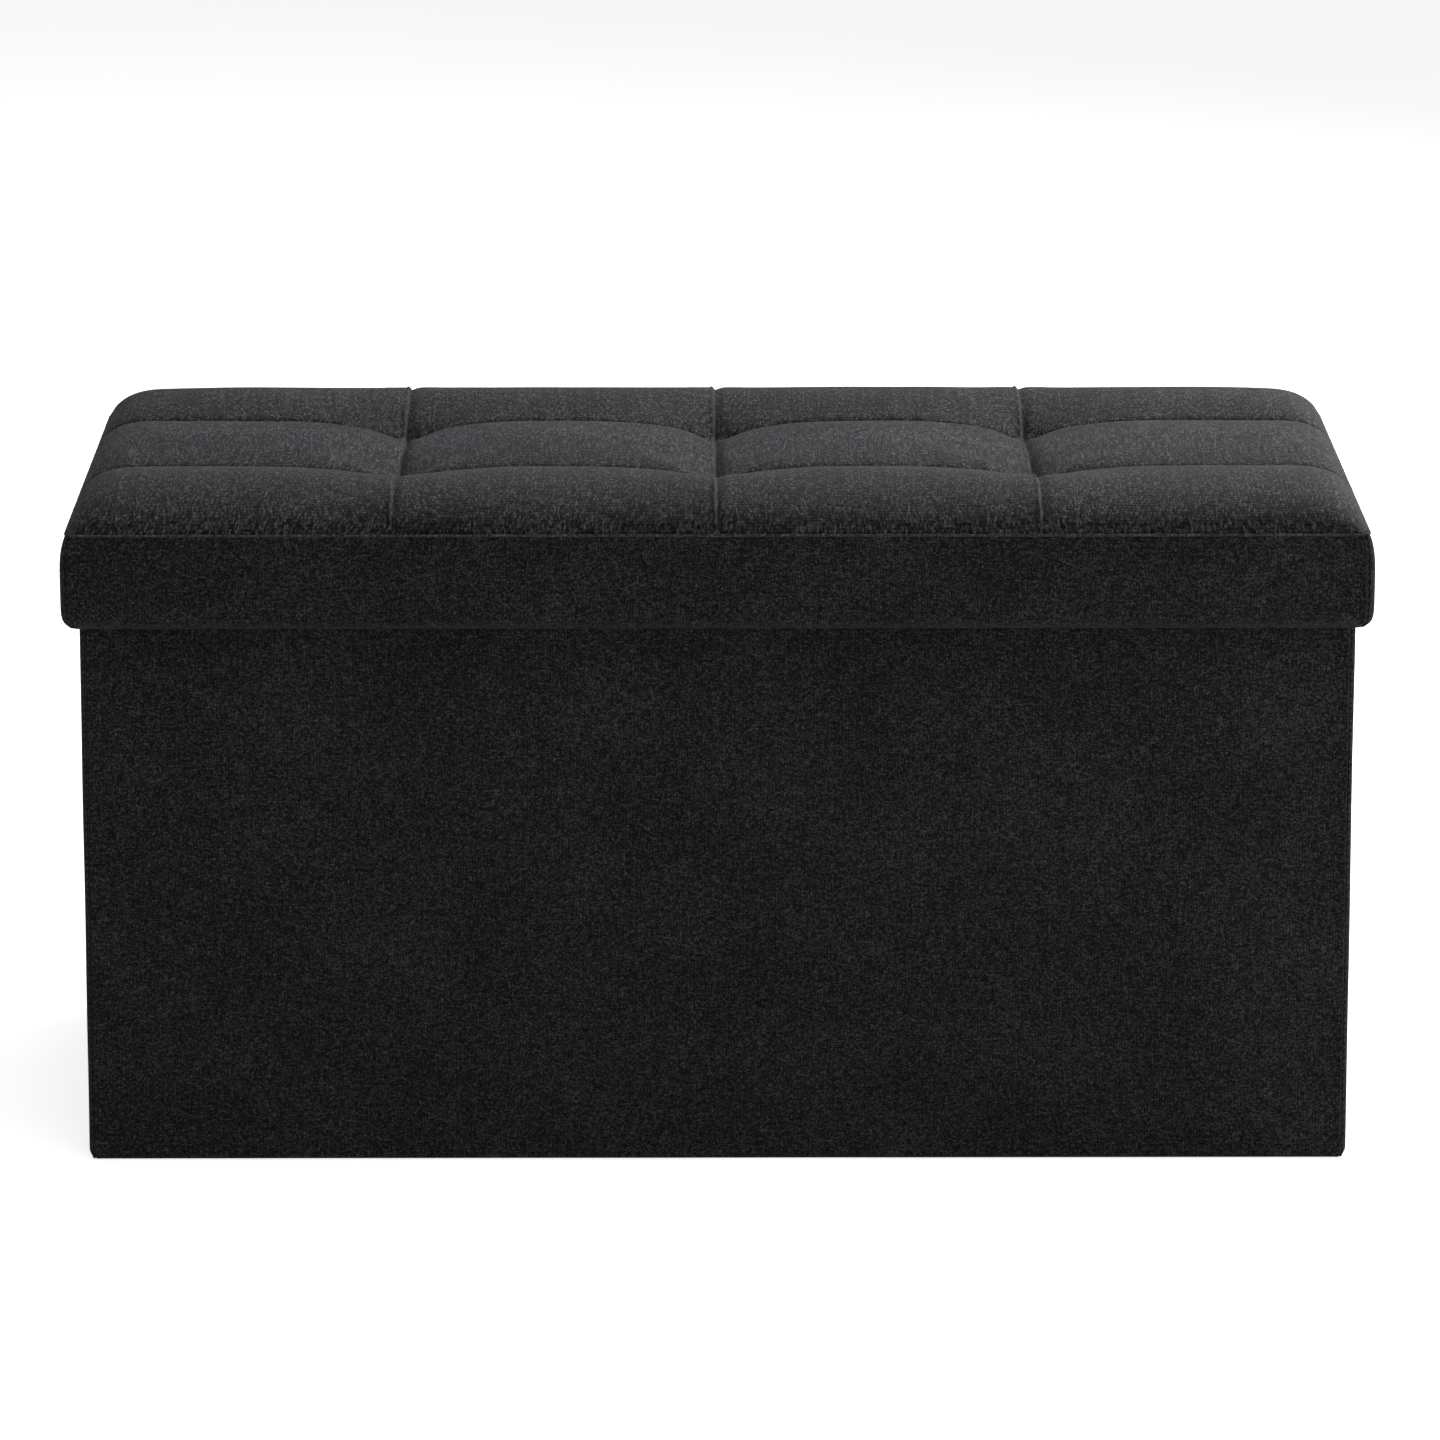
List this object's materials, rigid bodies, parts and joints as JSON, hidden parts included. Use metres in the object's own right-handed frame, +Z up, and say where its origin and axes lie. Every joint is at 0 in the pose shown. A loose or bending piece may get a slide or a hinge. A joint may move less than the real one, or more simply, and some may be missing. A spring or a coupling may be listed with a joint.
{
  "type": "storage ottoman bench",
  "caption": "Black fabric storage bench: box with padded lift-off lid quilted into patches with pulled tufts, loose base board and wire divider inside.",
  "frame": {"origin": "on the floor, at the centre of the bench's footprint", "axes": "+Z up; +X along the bench's length, to the right of a person facing the front panel; the front panel faces -Y"},
  "size_m": [0.76, 0.38, 0.402],
  "materials": {
    "cover_cloth": "black linen-look polyester weave",
    "lining_cloth": "black non-woven felted lining",
    "fibreboard": "bare fibreboard",
    "foam": "cream polyurethane foam",
    "webbing": "black woven tape",
    "twine": "waxed tufting thread and washer",
    "coated_wire": "black powder coat"
  },
  "bodies": {
    "box": {"front_cover": "cover_cloth", "back_cover": "cover_cloth", "left_cover": "cover_cloth", "right_cover": "cover_cloth", "front_board": "fibreboard", "back_board": "fibreboard", "left_front_board": "fibreboard", "left_rear_board": "fibreboard", "right_front_board": "fibreboard", "right_rear_board": "fibreboard", "front_lining": "lining_cloth", "back_lining": "lining_cloth", "left_lining": "lining_cloth", "right_lining": "lining_cloth", "bottom_cloth": "lining_cloth"},
    "base": {"base_board": "fibreboard", "base_wrap": "lining_cloth"},
    "divider": {"divider_grid": "coated_wire"},
    "tab": {"pull_tab": "webbing"},
    "lid": {"top_cover": "cover_cloth", "foam_pad": "foam", "lid_board": "fibreboard", "lid_lining": "lining_cloth", "front_rim_board": "fibreboard", "back_rim_board": "fibreboard", "left_rim_board": "fibreboard", "right_rim_board": "fibreboard", "front_skirt": "cover_cloth", "back_skirt": "cover_cloth", "left_skirt": "cover_cloth", "right_skirt": "cover_cloth", "tuft_tie_1": "twine", "tuft_tie_2": "twine", "tuft_tie_3": "twine", "tuft_tie_4": "twine", "tuft_tie_5": "twine", "tuft_tie_6": "twine"}
  },
  "joints": [
    {"name": "base_lift", "type": "slide", "parent": "box", "child": "base", "axis": [0, 0, 1], "range_m": [0, 0.36]},
    {"name": "divider_lift", "type": "slide", "parent": "base", "child": "divider", "axis": [0, 0, 1], "range_m": [0, 0.36]},
    {"name": "lid_lift", "type": "slide", "parent": "divider", "child": "lid", "axis": [0, 0, 1], "range_m": [0, 0.22]},
    {"name": "tab_hinge", "type": "hinge", "parent": "base", "child": "tab", "pos_m": [0.18, -0.15, 0.0097], "axis": [1, 0, 0], "range_deg": [0, 90]}
  ]
}
